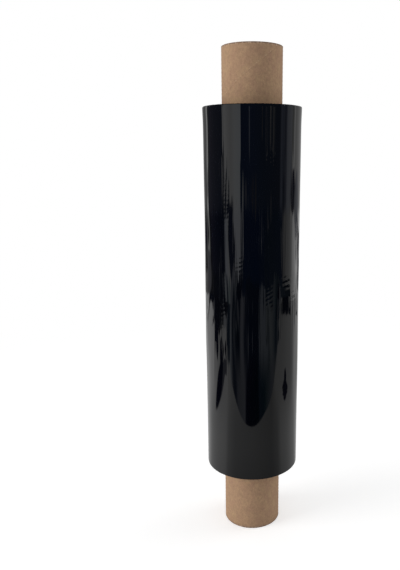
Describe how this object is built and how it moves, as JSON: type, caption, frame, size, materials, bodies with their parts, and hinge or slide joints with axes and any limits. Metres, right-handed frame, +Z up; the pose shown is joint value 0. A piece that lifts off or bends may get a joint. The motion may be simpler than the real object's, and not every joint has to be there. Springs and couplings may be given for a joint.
{
  "type": "stretch wrap roll",
  "caption": "Hand roll of glossy black stretch film wound on a longer cardboard core, whose bare ends are the hand grips.",
  "frame": {"origin": "middle of the core's lower end, where the roll stands on a surface", "axes": "+Z up along the core, from the longer bare grip to the shorter one; -Y is the front, and the film's free end lies on the back"},
  "size_m": [0.0997, 0.0995, 0.508],
  "materials": {
    "core": "matte",
    "film": "gloss"
  },
  "bodies": {
    "root": {"core_tube": "core", "film_roll": "film"}
  },
  "joints": []
}
